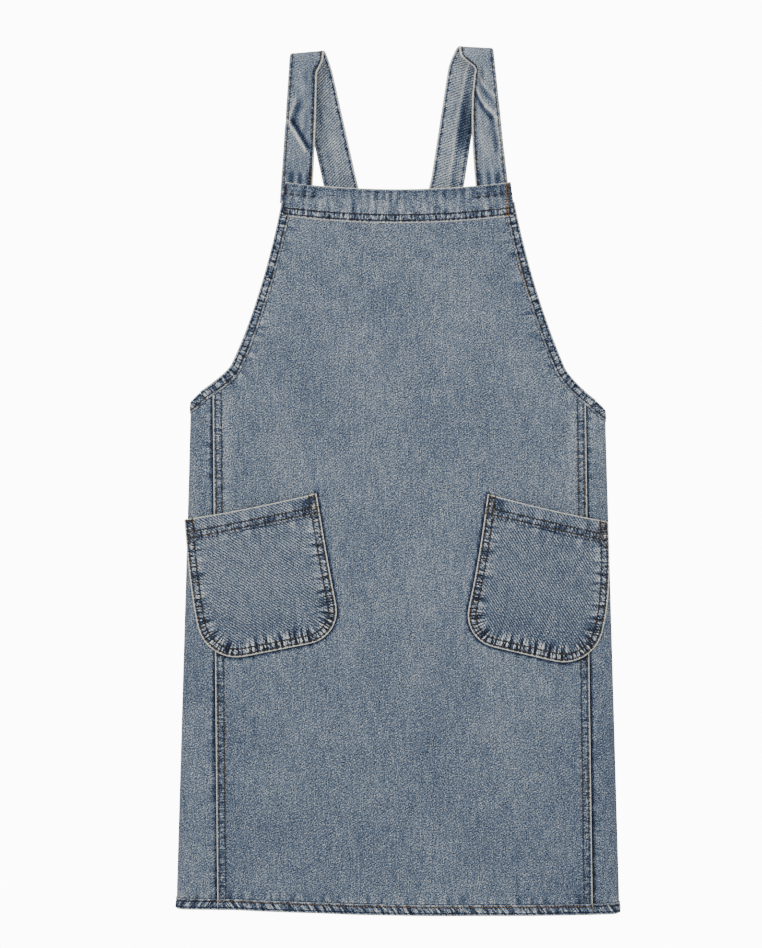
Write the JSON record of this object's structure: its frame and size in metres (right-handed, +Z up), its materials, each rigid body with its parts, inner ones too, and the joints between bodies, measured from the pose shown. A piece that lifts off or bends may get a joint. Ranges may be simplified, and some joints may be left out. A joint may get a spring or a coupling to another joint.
{
  "type": "artist smock apron",
  "caption": "Cross-back denim apron with a banded bib, wide shoulder straps that cross behind, side panels that wrap into two back panels, and two slanted patch pockets.",
  "frame": {"origin": "on the axis of the bar that the two shoulder loops hang from, above the middle of the bib", "axes": "+Z up, -Y is the front with the pockets, +X is the viewer's right when the front is seen"},
  "size_m": [0.488, 0.0283, 0.9472],
  "materials": {
    "denim": "washed indigo twill",
    "denim_strap": "washed indigo twill, two plies",
    "thread": "tan spun polyester topstitching thread"
  },
  "bodies": {
    "straps": {"left_strap_front": "denim_strap", "left_strap_shoulder": "denim_strap", "left_strap_back_upper": "denim_strap", "left_strap_topstitch": "thread", "right_strap_front": "denim_strap", "right_strap_shoulder": "denim_strap", "right_strap_back_upper": "denim_strap", "right_strap_topstitch": "thread"},
    "front": {"front_panel": "denim", "bib_band_outer": "denim", "bib_band_facing": "denim", "bib_band_topstitch": "thread", "front_hem": "denim", "front_hem_topstitch": "thread", "left_armhole_hem": "denim", "left_armhole_topstitch": "thread", "left_seam_topstitch": "thread", "left_side_front": "denim", "left_side_fold": "denim", "left_side_hem": "denim", "left_strap_front_tab": "denim_strap", "left_strap_back_lower": "denim_strap", "right_armhole_hem": "denim", "right_armhole_topstitch": "thread", "right_seam_topstitch": "thread", "right_side_front": "denim", "right_side_fold": "denim", "right_side_hem": "denim", "right_strap_front_tab": "denim_strap", "right_strap_back_lower": "denim_strap"},
    "left_back": {"left_back_panel": "denim", "left_back_top_hem": "denim", "left_back_edge_hem": "denim", "left_back_bottom_hem": "denim", "left_back_topstitch": "thread", "right_strap_back_tab": "denim_strap"},
    "right_back": {"right_back_panel": "denim", "right_back_top_hem": "denim", "right_back_edge_hem": "denim", "right_back_bottom_hem": "denim", "right_back_topstitch": "thread", "left_strap_back_tab": "denim_strap"},
    "left_pocket": {"left_pocket_patch": "denim", "left_pocket_hem": "denim", "left_pocket_topstitch": "thread", "left_pocket_bartacks": "thread"},
    "right_pocket": {"right_pocket_patch": "denim", "right_pocket_hem": "denim", "right_pocket_topstitch": "thread", "right_pocket_bartacks": "thread"}
  },
  "joints": [
    {"name": "bib_swing", "type": "hinge", "parent": "straps", "child": "front", "pos_m": [0, -0.0076, -0.13775], "axis": [-1, 0, 0], "range_deg": [0, 30]},
    {"name": "left_back_open", "type": "hinge", "parent": "front", "child": "left_back", "pos_m": [-0.2182, 0.0113, -0.384], "axis": [0.0289, 0, 0.9996], "range_deg": [0, 20]},
    {"name": "right_back_open", "type": "hinge", "parent": "front", "child": "right_back", "pos_m": [0.2182, 0.0113, -0.384], "axis": [0.0289, 0, -0.9996], "range_deg": [0, 20]},
    {"name": "left_pocket_gape", "type": "hinge", "parent": "front", "child": "left_pocket", "pos_m": [-0.12883, -0.0092, -0.65233], "axis": [0.9813, 0, 0.1925], "range_deg": [0, 10], "stiffness_Nm_per_rad": 0.05},
    {"name": "right_pocket_gape", "type": "hinge", "parent": "front", "child": "right_pocket", "pos_m": [0.13483, -0.0092, -0.65413], "axis": [0.974, 0, -0.2267], "range_deg": [0, 10], "stiffness_Nm_per_rad": 0.05}
  ]
}
